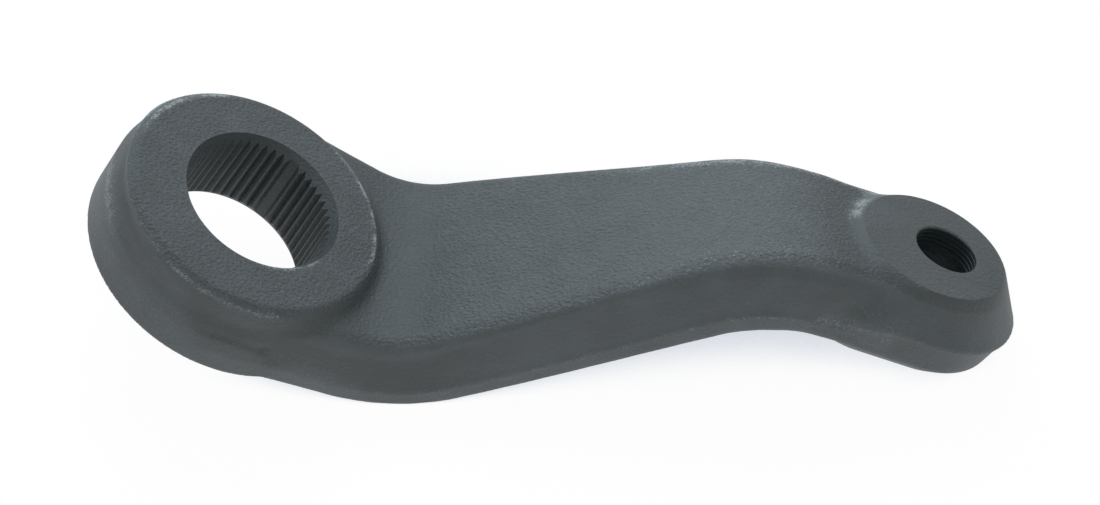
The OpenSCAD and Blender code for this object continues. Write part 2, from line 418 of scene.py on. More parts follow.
def boss_distance(x, y, z):
    lean = rise(z, -BODY_PARTING, BODY_PARTING - COLLAR_BEVEL)
    px, py = x - COLLAR_SHIFT[0] * lean, y - COLLAR_SHIFT[1] * lean
    r = np.hypot(px, py)
    back = -px / np.maximum(r, 1)
    turn = np.degrees(np.arctan2(y, x)) % 360
    for angle, spread, growth in COLLAR_OVAL:
        r = r - growth * lean * band(turn, angle, spread)
    angle, spread, growth = BODY_OVAL
    r = r - growth * (1 - lean) * band(turn, angle, spread)
    start, length = (np.where(y < 0, *pair) for pair in zip(GROOVE_NEAR_FROM, GROOVE_FAR_FROM))
    plain = outline_distance(boss_outline(False), r, z)
    grooved = outline_distance(boss_outline(True), r, z)
    form = mix(plain, grooved, rise(back, start, length))
    step = LIP * rise(x, *LIP_ALONG_FROM) * rise(-y, *LIP_NEAR_FROM) * rise(-z, *LIP_BELOW_FROM)
    form = form + step * smooth_step((z - lip_height(x)) / LIP_SOFT + 0.5)
    return form + PIT_DEPTH * pit_mark(x, y, z, PIT_R)


def to_eye(x, y, z):
    """Points in the eye's own frame: stud axis along Z, mid plane at z = 0."""
    end_x, end_z = spine_end()
    cp, sp = math.cos(EYE_PITCH), math.sin(EYE_PITCH)
    ct, st = math.cos(EYE_TWIST), math.sin(EYE_TWIST)
    run = (x - end_x) * cp + (z - end_z) * sp
    height = (z - end_z) * cp - (x - end_x) * sp
    return run, y * ct - height * st, y * st + height * ct


def eye_outline():
    """Half section of the eye: pad with its stock for machining, drafted wall, bevel and foot."""
    pad = SEAT_H + SEAT_STOCK
    bevel = FOOT_BEVEL_H - FOOT_H
    bevel_r = EYE_R - (EYE_PARTING - bevel) * math.tan(EYE_DRAFT)
    return rounded([
        (-SEAT_R, pad, 0), (SEAT_R + PAD_MARGIN, pad, SEAT_EDGE_R),
        (EYE_R, EYE_PARTING, EYE_PARTING_R), (bevel_r, bevel, FOOT_BEVEL_R),
        (FOOT_R, -FOOT_H, FOOT_EDGE_R), (-SEAT_R, -FOOT_H, 0)])


def eye_flash(run):
    """Height of the flash line on the eye, which drops to the beam's."""
    return mix(EYE_PARTING, PARTING_AT + EYE_FLASH_LIFT, fall(run, *EYE_FLASH_TO))


def eye_distance(x, y, z):
    run, across, height = to_eye(x, y, z)
    draw = np.clip((height - EYE_PARTING) / (SEAT_H - EYE_PARTING), 0, 1)
    tuck = fall(height, EYE_PARTING + TUCK_ABOVE, TUCK_SOFT) * rise(height, -FOOT_H, TUCK_SOFT)
    outer = EYE_REACH * (1 - draw) + SEAT_SHIFT[0] * draw - EYE_TUCK * tuck
    stretch = mix(EYE_STRETCH, NEAR_STRETCH, rise(-across, *NEAR_STRETCH_FROM))
    inner = -stretch * (1 - draw) + SEAT_SHIFT[0] * draw
    end = np.maximum(run - outer, 0) + np.minimum(run - inner, 0)
    form = outline_distance(eye_outline(), np.hypot(end, across - SEAT_SHIFT[1] * draw), height)
    return form - FLASH * band(height, eye_flash(run), FLASH_W)


def arm_distances(x, y, z):
    """Signed distances to beam, boss and eye before the holes are cut, the last two only near them."""
    beam = beam_distance(x, y, z)
    boss = np.full(x.shape, np.inf, x.dtype)
    near_boss = x < BODY_R + BLEND_REACH * COLLAR_BLEND
    boss[near_boss] = boss_distance(x[near_boss], y[near_boss], z[near_boss])
    eye = np.full(x.shape, np.inf, x.dtype)
    near_eye = x > spine_end()[0] - EYE_R - EYE_STRETCH - BLEND_REACH * EYE_BLEND
    eye[near_eye] = eye_distance(x[near_eye], y[near_eye], z[near_eye])
    return beam, boss, eye


def rest_tip():
    """Angle that lays the arm down on the first bend and the eye's foot."""
    end_x, end_z = spine_end()
    centre_x, centre_z = ROOT_LEN, MID_Z + RISE_R
    tip = 0.0
    for _ in range(6):
        slope = tip - EYE_PITCH
        lean = np.array([math.sin(slope), math.cos(slope) * math.sin(EYE_TWIST)])
        reach = unit2(lean) * FOOT_R
        x = reach[0] + (-EYE_STRETCH if lean[0] < 0 else FOOT_REACH)
        h = -FOOT_H * math.cos(EYE_TWIST) - reach[1] * math.sin(EYE_TWIST)
        foot_x = end_x + x * math.cos(EYE_PITCH) - h * math.sin(EYE_PITCH)
        foot_z = end_z + x * math.sin(EYE_PITCH) + h * math.cos(EYE_PITCH)
        dx, dz = foot_x - centre_x, foot_z - centre_z
        tip = math.atan2(dx, -dz) - math.acos((RISE_R + HALF_T) / math.hypot(dx, dz))
    return tip


TIP = rest_tip()
# Turns a forging-frame vector into the row frame
LAY = np.array([
    [math.cos(TIP), 0, math.sin(TIP)], [0, 1, 0], [-math.sin(TIP), 0, math.cos(TIP)]])


def blended(x, y, z, step):
    """The arm's distance on a grid, with blends only where its forms meet at an angle."""
    beam, boss, eye = arm_distances(x, y, z)

    def meeting(a, b, size):
        reach = BLEND_REACH * size
        both = np.isfinite(a) & np.isfinite(b) & (np.abs(a) < reach) & (np.abs(b) < reach)
        ga = np.gradient(np.where(np.isfinite(a), a, FAR_OFF), step)
        gb = np.gradient(np.where(np.isfinite(b), b, FAR_OFF), step)
        dot = sum(p * q for p, q in zip(ga, gb))
        norm = np.sqrt(sum(p * p for p in ga) * sum(q * q for q in gb)) + 1e-6
        return np.where(both, size * smooth_step((1 - dot / norm) / BLEND_TURN), 0)

    form = smooth_min(beam, np.minimum(boss, FAR_OFF), meeting(beam, boss, COLLAR_BLEND))
    level = to_eye(x, y, z)[2]
    soft = mix(EYE_BLEND, SEAT_BLEND, rise(level, *SEAT_BLEND_FROM))
    return smooth_min(form, np.minimum(eye, FAR_OFF), meeting(beam, eye, EYE_BLEND) * soft / EYE_BLEND)


def surface_net(values, origin, step):
    """Quads through the sign changes of a grid: one point in each crossed cell."""
    inside = values < 0
    shape = np.array(values.shape) - 1
    offsets = [(i, j, k) for i in (0, 1) for j in (0, 1) for k in (0, 1)]

    def corner(a, o):
        return a[o[0]:o[0] + shape[0], o[1]:o[1] + shape[1], o[2]:o[2] + shape[2]]

    count = sum(corner(inside, o).astype(np.int8) for o in offsets)
    cells = np.argwhere((count > 0) & (count < 8))
    index = np.full(shape, -1)
    index[tuple(cells.T)] = np.arange(len(cells))
    total = np.zeros((len(cells), 3))
    crossings = np.zeros(len(cells))
    for a in offsets:
        for axis in range(3):
            if a[axis]:
                continue
            b = list(a)
            b[axis] = 1
            va = values[tuple((cells + a).T)]
            vb = values[tuple((cells + b).T)]
            cuts = (va < 0) != (vb < 0)
            t = np.where(cuts, va / np.where(cuts, va - vb, 1), 0)
            point = (cells + a).astype(float)
            point[:, axis] += t
            total[cuts] += point[cuts]
            crossings[cuts] += 1
    points = origin + step * total / crossings[:, None]
    quads = []
    for axis in range(3):
        u, v = (axis + 1) % 3, (axis + 2) % 3
        lo = [slice(1, -1)] * 3
        lo[axis] = slice(0, -1)
        hi = list(lo)
        hi[axis] = slice(1, None)
        change = inside[tuple(lo)] != inside[tuple(hi)]
        leaves = inside[tuple(lo)][change]
        base = np.argwhere(change) + 1
        base[:, axis] -= 1
        ring = []
        for du, dv in ((1, 1), (0, 1), (0, 0), (1, 0)):
            cell = base.copy()
            cell[:, u] -= du
            cell[:, v] -= dv
            ring.append(index[tuple(cell.T)])
        ring = np.stack(ring, 1)
        quads.append(np.where(leaves[:, None], ring, ring[:, ::-1]))
    return points, np.concatenate(quads)


def mesh_object(name, points, faces):
    mesh = bpy.data.meshes.new(name)
    mesh.from_pydata([tuple(p) for p in points], [], [tuple(int(i) for i in f) for f in faces])
    mesh.update()
    obj = bpy.data.objects.new(name, mesh)
    bpy.context.scene.collection.objects.link(obj)
    return obj


def arm_body():
    """The forging without holes, in the row frame, in metres."""
    low = np.array(cad_box[0]) * MM_PER_M - MARGIN_CELLS * GRID
    high = np.array(cad_box[1]) * MM_PER_M + MARGIN_CELLS * GRID
    axes = [np.arange(a, b, GRID, dtype=np.float32) for a, b in zip(low, high)]
    row = np.meshgrid(*axes, indexing="ij")
    back = LAY.T.astype(np.float32)
    x, y, z = (sum(back[i, j] * row[j] for j in range(3)) for i in range(3))
    values = blended(x, y, z, GRID)
    points, quads = surface_net(values, low, GRID)
    return mesh_object("pitman_arm_body", points / MM_PER_M, quads)


def placed(points):
    """Forging-frame points in mm as row-frame points in metres."""
    return np.asarray(points) @ LAY.T / MM_PER_M


def from_eye(points):
    """Eye-frame points in mm as row-frame points in metres."""
    run, across, height = np.asarray(points).T
    end_x, end_z = spine_end()
    cp, sp = math.cos(EYE_PITCH), math.sin(EYE_PITCH)
    ct, st = math.cos(EYE_TWIST), math.sin(EYE_TWIST)
    y = across * ct + height * st
    h = height * ct - across * st
    return placed(np.column_stack([end_x + run * cp - h * sp, y, end_z + run * sp + h * cp]))


def stacked(name, rings, to_row=placed):
    """Closed solid through rings of equal count, from the lowest to the highest."""
    count = len(rings[0])
    faces = []
    for i in range(len(rings) - 1):
        low, high = i * count, (i + 1) * count
        for j in range(count):
            k = (j + 1) % count
            faces.append([j + low, k + low, k + high, j + high])
    faces.append(list(range(count))[::-1])
    faces.append([j + (len(rings) - 1) * count for j in range(count)])
    return mesh_object(name, to_row(np.concatenate(rings)), faces)


def circle(r, z, count, shift=(0, 0)):
    a = np.linspace(0, 2 * np.pi, count, endpoint=False)
    return np.column_stack([r * np.cos(a), r * np.sin(a), np.full(count, z)]) + (*shift, 0)


def serrations(r, z):
    """Serrated outline at groove-root radius r, with a tooth left out at each master groove."""
    pitch = 2 * np.pi / SPLINE_POSITIONS
    masters = [round(k * SPLINE_POSITIONS / MASTER_GROOVES) for k in range(MASTER_GROOVES)]
    out = []
    for i in range(SPLINE_POSITIONS):
        a = i * pitch + MASTER_TURN
        tip = r if i in masters else r - SPLINE_DEPTH
        out.append((r, a - pitch / 2))
        out.append((tip, a - TOOTH_FLAT / 2 * pitch))
        out.append((tip, a + TOOTH_FLAT / 2 * pitch))
    return np.array([(q * math.cos(a), q * math.sin(a), z) for q, a in out])


def bore_cutters():
    """The tapered serrations, which widen downward, and the lead-in cones at both ends."""
    low_z, high_z = -BOSS_H - OVER, OVER
    low_r, high_r = (SPLINE_R - z / SPLINE_TAPER / 2 for z in (low_z, high_z))
    slope = math.tan(LEAD_ANGLE)
    mouth_r = SPLINE_R + MOUTH_LEAD
    exit_r = SPLINE_R + BOSS_H / SPLINE_TAPER / 2 + EXIT_LEAD
    wide, narrow = OVER * slope, CONE_DEEP * slope
    return [
        stacked("bore", [serrations(low_r, low_z), serrations(high_r, high_z)]),
        stacked("mouth", [circle(mouth_r - narrow, -CONE_DEEP, BORE_SIDES, MOUTH_SHIFT),
                          circle(mouth_r + wide, high_z, BORE_SIDES, MOUTH_SHIFT)]),
        stacked("exit", [circle(exit_r + wide, low_z, BORE_SIDES, EXIT_SHIFT),
                         circle(exit_r - narrow, CONE_DEEP - BOSS_H, BORE_SIDES, EXIT_SHIFT)])]


def stud_cutter():
    """The taper, the step and the straight land with its rings, up to the chamfered edge."""
    step_r = STUD_R + LAND_STEP
    ring_r = STUD_R + RING_DEPTH
    edge_r = STUD_R + STUD_EDGE
    land_end = SEAT_H - LAND_LEN
    low = -FOOT_H - OVER
    rings = [(step_r + (land_end - low) / STUD_TAPER / 2, low), (step_r, land_end),
             (STUD_R, land_end + LAND_STEP_H)]
    for depth in STUD_RINGS:
        z = SEAT_H - depth
        low_edge, low_floor, high_floor = (z - edge for edge in RING_EDGES)
        rings += [(STUD_R, low_edge), (ring_r, low_floor), (ring_r, high_floor), (STUD_R, z)]
    rings += [(STUD_R, SEAT_H - STUD_EDGE), (edge_r, SEAT_H), (edge_r, SEAT_H + OVER)]
    return stacked("stud", [circle(r, z, STUD_SIDES) for r, z in rings], from_eye)


def seat_cutter():
    """The machining that leaves the nut seat flat on the forged pad."""
    r = SEAT_R + SEAT_CUT_MARGIN
    rings = [circle(r, z, STUD_SIDES, SEAT_SHIFT) for z in (SEAT_H, SEAT_H + SEAT_CUT_H)]
    return stacked("seat", rings, from_eye)


def cut(target, cutter):
    """Cuts a closed solid out of the target and removes it."""
    step = target.modifiers.new("cut", "BOOLEAN")
    step.operation = "DIFFERENCE"
    step.solver = "MANIFOLD"
    step.object = cutter
    bpy.context.view_layer.update()
    graph = bpy.context.evaluated_depsgraph_get()
    mesh = bpy.data.meshes.new_from_object(target.evaluated_get(graph))
    target.modifiers.clear()
    old = target.data
    target.data = mesh
    bpy.data.meshes.remove(old)
    bpy.data.objects.remove(cutter)


arm = arm_body()
for cutter in bore_cutters() + [seat_cutter(), stud_cutter()]:
    cut(arm, cutter)
arm.name = "pitman_arm_forging"
arm.data.shade_smooth()
arm.data.set_sharp_from_angle(angle=SHARP_ANGLE)

# Marks that the finish reads: wear with painted highlights, painted shade in the holes, grain, and tone with
# painted light and shade.
# Each value is a weight, alone or before a stretch that is given as from, to and softness.

# Where the boss ends along x, and where the eye starts along its run
BOSS_END = 34
EYE_START = -26
# Height at which the beam's top face, its near edge and its far edge begin to show
TOP_FROM = (7.9, 1.2)
TOP_WEAR_FROM = (8, 1)
NEAR_EDGE_FROM = (6.5, 2)
FAR_EDGE_FROM = (6, 2)
# Edges of the collar face, of the machined seat and of the holes
COLLAR_TO = (COLLAR_FACE_R + 2.2, 1.5)
FACE_FROM = (-2, 1.5)
MOUTH_FROM = (SPLINE_R + MOUTH_LEAD - 0.18, 0.6)
SEAT_SLACK = 0.05
BORE_LIMIT_R = SPLINE_R + 1.5
BORE_CLEAR_R = SPLINE_R + 4
BORE_DARK_TO = (-0.3, 0.8)
STUD_LIMIT_R = STUD_R + 2.2
STUD_CLEAR_R = STUD_R + 3
STUD_DARK_TO = (SEAT_H - 0.4, 0.4)
STUD_FOOT = 0.3 - FOOT_H

# Wear round the boss, by angle about the collar in degrees; the back of the rim is a painted highlight, and
# its right, the left of the bevel and the bore's mouth carry wear and a painted highlight
BEVEL_W = (0.7, 0.8)
RIM_W = (0.8, 0.8)
BODY_W = (1.5, 2.2)
MOUTH_W = 0.7
MOUTH_LOW = -1.2
BEVEL_FRONT_WEAR = (0.5, 240, 292, 14)
BEVEL_LEFT_WEAR_AND_HIGHLIGHT = (0.4, 165, 245, 12)
RIM_BACK_HIGHLIGHT = (0.85, 105, 165, 20)
RIM_RIGHT_WEAR_AND_HIGHLIGHT = (0.75, -5, 55, 20)
RIM_FRONT_WEAR_AND_HIGHLIGHT = (0.75, 345, 370, 20)
BODY_LEFT_WEAR = (0.5, 168, 208, 14)
MOUTH_WEAR_AND_HIGHLIGHT = (0.8, 282, 330, 14)
# Wear of the beam, along it
EDGE_IN = 1.6
FAR_EDGE_IN = 2.2
NEAR_EDGE_W = 1.4
FAR_EDGE_W = 1.5
FLASH_LINE_W = 0.5
STRIP_W = (5, 4)
CREST_ACROSS = (-18, 16, 8)
NEAR_EDGE_WEAR = 0.15
NEAR_CREST_WEAR = (0.14, 80, 140, 14)
FAR_EDGE_WEAR = (0.6, 86, 146, 18)
NEAR_STRIP_WEAR = (0.12, 92, 132, 12)
CREST_WEAR = (0.08, 100, 132, 20)
FLASH_WEAR = 0.28
FLASH_CREST_WEAR = (0.1, 100, 132, 16)
# Wear of the walls everywhere, and below the parting line
WALL_WEAR = 0.04
WALL_TO = (5, 3)
LOW_WALL_WEAR = 0.1
LOW_WALL_FROM = (0, 2)
# Wear of the eye, with a painted highlight on the far side of the fillet round the seat: fillet by place
# across, flash line, and neck by run
FILLET = (SEAT_R + 1.7, 1.8)
FILLET_FROM = (SEAT_R, 0.8)
FILLET_LEVEL_FROM = (8, 1)
FILLET_RUN_TO = -8
FILLET_FAR_HIGHLIGHT = (0.75, 2, 16, 6)
FILLET_NEAR_HIGHLIGHT = (0.04, -16, 2, 5)
EYE_FLASH_WEAR = 0.2
EYE_FLASH_CLEAR_R = 16
NECK_WEAR = (0.12, -26, -8, 5)
NECK_LEVEL = (-7, 4, 3)
NECK_SIDE = -12

# Painted shade in the holes: teeth, groove roots, master grooves, left side of the bore, pit, lead-in cones
TOOTH_DARK = 0.43
ROOT_DARK = 0.32
MASTER_DEEP = 0.3
MASTER_HALF_W = 0.55
LEFT_DEEP = 0.6
LEFT_OF_BORE = (105, 215, 30)
PIT_DARK = 0.5
PIT_DARK_R = math.sqrt(1.4)
LEAD_DARK = 0.42
LEAD_BACK = (-0.28, 20, 80, 40)
LEAD_RIGHT = (0.18, -75, 10, 40)
CONE_SLANT = (0.3, 0.8)

# Grain: plain walls, top of the beam, collar face, machined seat, and how much smoother the root is
PLAIN_GRAIN = 0.3
TOP_GRAIN = 0.7
COLLAR_GRAIN = 0.62
SEAT_GRAIN = 0.25
SEAT_GRAIN_FROM = (SEAT_R, 8)
ROOT_SMOOTH = 0.5
ROOT_SMOOTH_TO = (66, 26)

# Tone: painted shade at the root, past the crest, below the collar, in the groove, in the valley by the
# seat, on the near wall and at the front of the boss; painted light on the climb, the crest, the low walls
# and the eye's end; darker on the seat and the collar face
PLAIN_TONE = 0.5
SEAT_TONE = -0.34
COLLAR_TONE = -0.2
ROOT_PAINTED_SHADE = (-0.3, 14, 50, 18)
CLIMB_PAINTED_LIGHT = (0.2, 58, 98, 20)
CREST_PAINTED_LIGHT = (0.3, 95, 124, 16)
DOWN_PAINTED_SHADE = (-0.36, 131, 170, 10)
NEAR_WALL_PAINTED_SHADE = -0.3
NEAR_WALL_TO = (6.5, 2)
NEAR_WALL_FROM = (PARTING_AT, 2)
NEAR_WALL_ALONG_TO = (75, 40)
NEAR_WALL_X_FROM = (-15, 20)
LOW_WALL_PAINTED_LIGHT = 0.1
LOW_WALL_TO = (PARTING_AT, 2)
LOW_CREST_PAINTED_LIGHT = 0.1
LOW_CREST_FROM = (95, 20)
VALLEY = (SEAT_R + 2, 2)
VALLEY_PAINTED_SHADE = -0.2
VALLEY_LEVEL_FROM = (7.5, 1.5)
VALLEY_RUN_FROM = (5, 7)
VALLEY_SIDE_FROM = (-14, 6)
VALLEY_SIDE_TO = (2, 6)
EYE_END_PAINTED_LIGHT = 0.18
EYE_END_FROM = (4, 10)
EYE_END_LEVEL = 8
LOW_BOSS_PAINTED_LIGHT = 0.2
LOW_BOSS_TO = (-12, 3)
BOSS_FRONT_PAINTED_SHADE = (-0.15, 252, 290, 20)
BOSS_FRONT_Z = (-12, -3, 2)
GROOVE_PAINTED_SHADE = (-0.3, 150, 230, 20)
GROOVE_AT = (GROOVE_R + 0.6, 1.6)
GROOVE_Z = (-GROOVE_DEPTH, 2)
UNDER_RIM_PAINTED_SHADE = (-0.4, -70, 25, 20)
UNDER_RIM_AT = (COLLAR_FACE_R + 2.6, 1.4)
UNDER_RIM_Z = -0.8


def weighted(value, weight, low, high, soft):
    return weight * between(value, low, high, soft)


def places():
    """Where each point of the arm lies: on the forging, along the beam, about the bore, at the eye."""
    points = np.empty(len(arm.data.vertices) * 3, np.float32)
    arm.data.vertices.foreach_get("co", points)
    p = SimpleNamespace()
    p.x, p.y, p.z = (points.reshape(-1, 3).astype(float) * MM_PER_M @ LAY).T
    p.along, p.across, p.height = straightened(p.x, p.y, p.z)
    p.run, p.side, p.level = to_eye(p.x, p.y, p.z)
    collar_x, collar_y = p.x - COLLAR_SHIFT[0], p.y - COLLAR_SHIFT[1]
    p.collar_r = np.hypot(collar_x, collar_y)
    # The angle about the collar, counted from 0, and again from -90 for what spans the right side
    p.turn = np.degrees(np.arctan2(collar_y, collar_x)) % 360
    p.right_turn = (p.turn + 90) % 360 - 90
    p.bore_r = np.hypot(p.x, p.y)
    p.stud_r = np.hypot(p.run, p.side)
    p.seat_r = np.hypot(p.run - SEAT_SHIFT[0], p.side - SEAT_SHIFT[1])
    p.near = p.across < 0
    p.on_boss = p.x < BOSS_END
    p.on_eye = p.run > EYE_START
    p.in_bore = p.on_boss & (p.bore_r < BORE_LIMIT_R)
    p.machined = p.on_eye & (p.level > SEAT_H - SEAT_SLACK)
    collar = fall(p.collar_r, *COLLAR_TO)
    mouth_r = np.hypot(p.x - MOUTH_SHIFT[0], p.y - MOUTH_SHIFT[1])
    p.face = collar * rise(p.z, *FACE_FROM) * rise(mouth_r, *MOUTH_FROM)
    p.top = rise(p.height, *TOP_FROM) * (1 - collar) * (p.x > 0)
    return p


def wear_and_highlight_marks(p):
    """Share of lighter metal from wear, with painted highlights on the boss's rims and bore mouth and on the
    eye's fillet: rims of the boss, edges and crest of the beam, walls, then the eye.
    """
    bevel = band(p.collar_r, COLLAR_FACE_R + COLLAR_BEVEL, BEVEL_W[0]) * band(p.z, -COLLAR_BEVEL, BEVEL_W[1])
    rim = band(p.collar_r, COLLAR_FACE_R, RIM_W[0]) * band(p.z, 0, RIM_W[1])
    body = band(p.bore_r, BODY_R, BODY_W[0]) * band(p.z, -BODY_PARTING, BODY_W[1])
    mouth = band(p.bore_r, SPLINE_R + MOUTH_LEAD, MOUTH_W) * (p.z > MOUTH_LOW)
    # Wear of the boss's edges; the back of the rim and bevel is a painted highlight, and the right of the
    # rim, the left of the bevel and the bore's mouth carry wear and a painted highlight
    boss = bevel * (weighted(p.turn, *BEVEL_FRONT_WEAR) + weighted(p.turn, *BEVEL_LEFT_WEAR_AND_HIGHLIGHT))
    boss += (rim + bevel) * weighted(p.turn, *RIM_BACK_HIGHLIGHT)
    boss += rim * (weighted(p.turn, *RIM_RIGHT_WEAR_AND_HIGHLIGHT) + weighted(p.turn, *RIM_FRONT_WEAR_AND_HIGHLIGHT))
    boss += body * weighted(p.turn, *BODY_LEFT_WEAR)
    boss += mouth * weighted(p.turn, *MOUTH_WEAR_AND_HIGHLIGHT)
    wear_and_highlight = p.on_boss * boss

    edge = half_width(p.along, p.near) - EDGE_IN
    near_edge = band(p.across, -edge, NEAR_EDGE_W) * rise(p.height, *NEAR_EDGE_FROM)
    far_edge = band(p.across, edge - FAR_EDGE_IN, FAR_EDGE_W) * rise(p.height, *FAR_EDGE_FROM)
    flash = band(p.height, PARTING_AT, FLASH_LINE_W) * p.near * ~p.on_eye
    beam = near_edge * (NEAR_EDGE_WEAR + weighted(p.along, *NEAR_CREST_WEAR))
    beam += far_edge * weighted(p.along, *FAR_EDGE_WEAR)
    beam += flash * (FLASH_WEAR + weighted(p.along, *FLASH_CREST_WEAR))
    wear_and_highlight += ~p.on_boss * beam
    strip = between(p.across, -edge, STRIP_W[0] - edge, STRIP_W[1]) * weighted(p.along, *NEAR_STRIP_WEAR)
    crest = between(p.across, *CREST_ACROSS) * weighted(p.along, *CREST_WEAR)
    wear_and_highlight += rise(p.height, *TOP_WEAR_FROM) * (strip + crest)

    outside = (p.stud_r > STUD_CLEAR_R) & (p.bore_r > BORE_CLEAR_R)
    below = np.where(p.on_boss, -BODY_PARTING - p.z, PARTING_AT - p.height)
    below = np.where(p.on_eye, EYE_PARTING - p.level, below)
    wear_and_highlight += outside * (WALL_WEAR * fall(p.height, *WALL_TO) + LOW_WALL_WEAR * rise(below, *LOW_WALL_FROM))

    fillet = band(p.seat_r, *FILLET) * rise(p.seat_r, *FILLET_FROM) * rise(p.level, *FILLET_LEVEL_FROM)
    fillet = fillet * (p.run < FILLET_RUN_TO)
    # Painted highlight on the far side of the fillet round the seat, almost none on the near side
    eye = fillet * (weighted(p.side, *FILLET_FAR_HIGHLIGHT) + weighted(p.side, *FILLET_NEAR_HIGHLIGHT))
    eye += EYE_FLASH_WEAR * band(p.level, eye_flash(p.run), FLASH_W) * (p.stud_r > EYE_FLASH_CLEAR_R)
    wear_and_highlight += p.on_eye * eye
    return wear_and_highlight + weighted(p.run, *NECK_WEAR) * between(p.level, *NECK_LEVEL) * (p.side < NECK_SIDE)


def hole_painted_shade(p):
    """Painted shade in bore, pit and stud hole: most at the groove roots, less on teeth and master grooves.
    """
    root_r = SPLINE_R - p.z / SPLINE_TAPER / 2
    deep = np.clip((p.bore_r - root_r) / SPLINE_DEPTH + 1, 0, 1)
    pitch, quarter = 360 / SPLINE_POSITIONS, 360 / MASTER_GROOVES
    off_master = (np.degrees(np.arctan2(p.y, p.x) - MASTER_TURN) + quarter / 2) % quarter - quarter / 2
    deep = np.where(np.abs(off_master) < MASTER_HALF_W * pitch, MASTER_DEEP, deep)
    deep = mix(deep, LEFT_DEEP, between(p.turn, *LEFT_OF_BORE))
    hole = p.in_bore * fall(p.z, *BORE_DARK_TO) * (TOOTH_DARK + ROOT_DARK * deep)
    hole += PIT_DARK * pit_mark(p.x, p.y, p.z, PIT_DARK_R)
    in_stud = p.on_eye & (p.stud_r < STUD_LIMIT_R) & (p.level > STUD_FOOT)
    return hole + in_stud * fall(p.level, *STUD_DARK_TO)


def corner_hole_painted_shade(p):
    """The holes' painted shade at each face corner: lead-in cones are paler than the teeth that end on them.
    """
    mesh = arm.data
    owner = np.empty(len(mesh.loops), np.int32)
    mesh.loops.foreach_get("vertex_index", owner)
    normals = np.empty(len(mesh.polygons) * 3, np.float32)
    mesh.polygons.foreach_get("normal", normals)
    corners = np.empty(len(mesh.polygons), np.int32)
    mesh.polygons.foreach_get("loop_total", corners)
    slant = np.repeat(np.abs((normals.reshape(-1, 3) @ LAY)[:, 2]), corners)
    on_cone = (slant > CONE_SLANT[0]) & (slant < CONE_SLANT[1]) & p.in_bore[owner]
    lead = LEAD_DARK + weighted(p.right_turn, *LEAD_BACK) + weighted(p.right_turn, *LEAD_RIGHT)
    return np.where(on_cone, lead[owner], hole_painted_shade(p)[owner])


def grain_marks(p):
    """Strength of the pebbled grain: beam's top, collar face, and finer on what was machined."""
    top = p.top * ~p.machined * rise(p.seat_r, *SEAT_GRAIN_FROM)
    grain = PLAIN_GRAIN + TOP_GRAIN * np.maximum(top, COLLAR_GRAIN * p.face)
    return grain * (1 - ROOT_SMOOTH * p.top * fall(p.along, *ROOT_SMOOTH_TO)) + SEAT_GRAIN * p.machined


def tone_and_shading_marks(p):
    """How light the finish is, mostly painted light and shade: top of the beam by stretch, its near wall,
    the eye, then the boss.
    """
    tone_and_painted_shading = PLAIN_TONE + SEAT_TONE * p.machined + COLLAR_TONE * p.face
    # Painted light and shade on the beam's top: shade at the root and past the crest, light on the climb and
    # the crest
    for stretch in (ROOT_PAINTED_SHADE, CLIMB_PAINTED_LIGHT, CREST_PAINTED_LIGHT, DOWN_PAINTED_SHADE):
        tone_and_painted_shading += p.top * weighted(p.along, *stretch)

    # Painted shade on the near wall, painted light on the low walls
    near_wall = p.near * fall(p.height, *NEAR_WALL_TO) * rise(p.height, *NEAR_WALL_FROM)
    near_wall = near_wall * fall(p.along, *NEAR_WALL_ALONG_TO) * rise(p.x, *NEAR_WALL_X_FROM)
    tone_and_painted_shading += NEAR_WALL_PAINTED_SHADE * near_wall
    low_wall = p.near * ~p.on_boss * ~p.on_eye * fall(p.height, *LOW_WALL_TO)
    tone_and_painted_shading += low_wall * (LOW_WALL_PAINTED_LIGHT + LOW_CREST_PAINTED_LIGHT * rise(p.along, *LOW_CREST_FROM))

    # Painted shade in the valley by the seat, painted light on the eye's end
    valley = band(p.seat_r, *VALLEY) * rise(p.level, *VALLEY_LEVEL_FROM) * rise(-p.run, *VALLEY_RUN_FROM)
    valley = valley * rise(p.side, *VALLEY_SIDE_FROM) * fall(p.side, *VALLEY_SIDE_TO)
    end = rise(p.run, *EYE_END_FROM) * (p.level < EYE_END_LEVEL)
    tone_and_painted_shading += p.on_eye * (VALLEY_PAINTED_SHADE * valley + EYE_END_PAINTED_LIGHT * end)

    # Painted light on the boss's low walls, painted shade on its front, in the groove and under the rim
    boss = LOW_BOSS_PAINTED_LIGHT * fall(p.z, *LOW_BOSS_TO) * (p.bore_r > BORE_CLEAR_R)
    boss += weighted(p.turn, *BOSS_FRONT_PAINTED_SHADE) * between(p.z, *BOSS_FRONT_Z)
    boss += weighted(p.turn, *GROOVE_PAINTED_SHADE) * band(p.collar_r, *GROOVE_AT) * band(p.z, *GROOVE_Z)
    under_rim = band(p.collar_r, *UNDER_RIM_AT) * (p.z < UNDER_RIM_Z)
    boss += weighted(p.right_turn, *UNDER_RIM_PAINTED_SHADE) * under_rim
    return tone_and_painted_shading + p.on_boss * boss


def add_mark(name, domain, value):
    layer = arm.data.attributes.new(name, "FLOAT", domain)
    layer.data.foreach_set("value", np.clip(value, 0, 1).astype(np.float32))


arm_places = places()
add_mark("wear_and_highlight", "POINT", wear_and_highlight_marks(arm_places))
add_mark("grain", "POINT", grain_marks(arm_places))
add_mark("tone_and_painted_shading", "POINT", tone_and_shading_marks(arm_places))
# Painted shade in the holes
add_mark("hole", "CORNER", corner_hole_painted_shade(arm_places))

